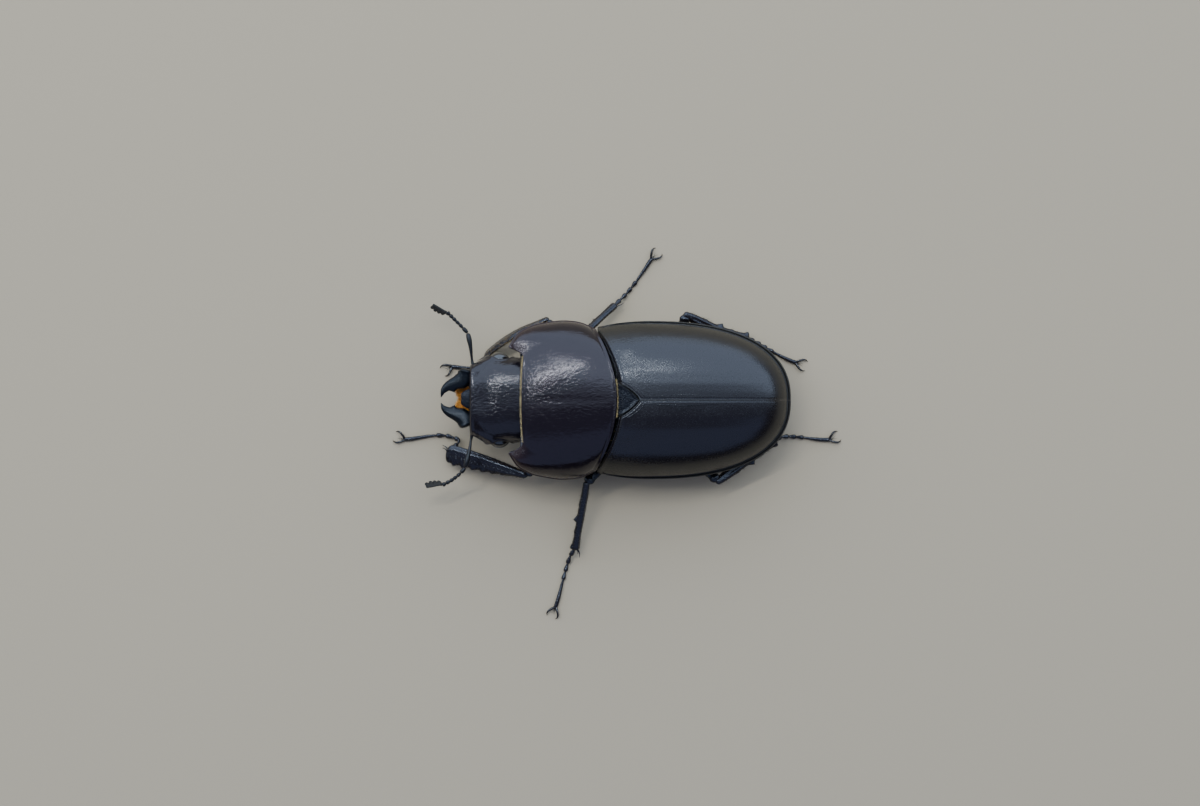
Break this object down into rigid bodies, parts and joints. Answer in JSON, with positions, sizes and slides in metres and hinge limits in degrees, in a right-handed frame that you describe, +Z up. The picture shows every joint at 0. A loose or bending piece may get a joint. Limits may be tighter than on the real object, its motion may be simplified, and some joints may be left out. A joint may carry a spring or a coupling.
{
  "type": "female stag beetle",
  "caption": "Life-size still model of a female stag beetle standing on its feet, with short jaws, elbowed feelers, a broad pronotum and smooth dark wing cases.",
  "frame": {"origin": "on the floor, under the middle of the whole model's box, feet and feelers included", "axes": "+X from the head to the tail, +Y to the beetle's right, +Z up from the floor that the feet stand on"},
  "size_m": [0.05, 0.0414, 0.0105],
  "materials": {
    "head_shell": "purplish black, coarsely pitted, satin",
    "thorax_shell": "dark purplish brown, finely grained, satin, bluish rim",
    "wing_shell": "black brown with an olive brown margin, smooth, satin gloss",
    "belly_shell": "black brown, punctured, with short golden hairs",
    "leg_shell": "black, dark red on the shins, glossy",
    "claw_horn": "reddish black horn, glossy",
    "jaw_shell": "blue black, glossy",
    "eye_gloss": "black, very glossy, finely faceted",
    "feeler_shell": "black brown, satin",
    "club_felt": "grey brown, felted with very short hairs",
    "mouth_gold": "orange gold hair brush"
  },
  "bodies": {
    "root": {"prothorax": "thorax_shell", "head": "head_shell", "eye_right": "eye_gloss", "eye_left": "eye_gloss", "mandible_right": "jaw_shell", "mandible_left": "jaw_shell", "labrum": "head_shell", "mouth_brush": "mouth_gold", "palp_right": "feeler_shell", "palp_left": "feeler_shell", "antenna_shaft_right": "feeler_shell", "antenna_lash_right": "feeler_shell", "antenna_club_right": "club_felt", "antenna_shaft_left": "feeler_shell", "antenna_lash_left": "feeler_shell", "antenna_club_left": "club_felt", "elytron_right": "wing_shell", "elytron_left": "wing_shell", "scutellum": "wing_shell", "hind_thorax": "belly_shell", "abdomen": "belly_shell", "coxa_front_right": "leg_shell", "femur_front_right": "leg_shell", "tibia_front_right": "leg_shell", "tarsus_front_right": "leg_shell", "claws_front_right": "claw_horn", "coxa_front_left": "leg_shell", "femur_front_left": "leg_shell", "tibia_front_left": "leg_shell", "tarsus_front_left": "leg_shell", "claws_front_left": "claw_horn", "coxa_middle_right": "leg_shell", "femur_middle_right": "leg_shell", "tibia_middle_right": "leg_shell", "tarsus_middle_right": "leg_shell", "claws_middle_right": "claw_horn", "coxa_middle_left": "leg_shell", "femur_middle_left": "leg_shell", "tibia_middle_left": "leg_shell", "tarsus_middle_left": "leg_shell", "claws_middle_left": "claw_horn", "coxa_hind_right": "leg_shell", "femur_hind_right": "leg_shell", "tibia_hind_right": "leg_shell", "tarsus_hind_right": "leg_shell", "claws_hind_right": "claw_horn", "coxa_hind_left": "leg_shell", "femur_hind_left": "leg_shell", "tibia_hind_left": "leg_shell", "tarsus_hind_left": "leg_shell", "claws_hind_left": "claw_horn"}
  },
  "joints": []
}
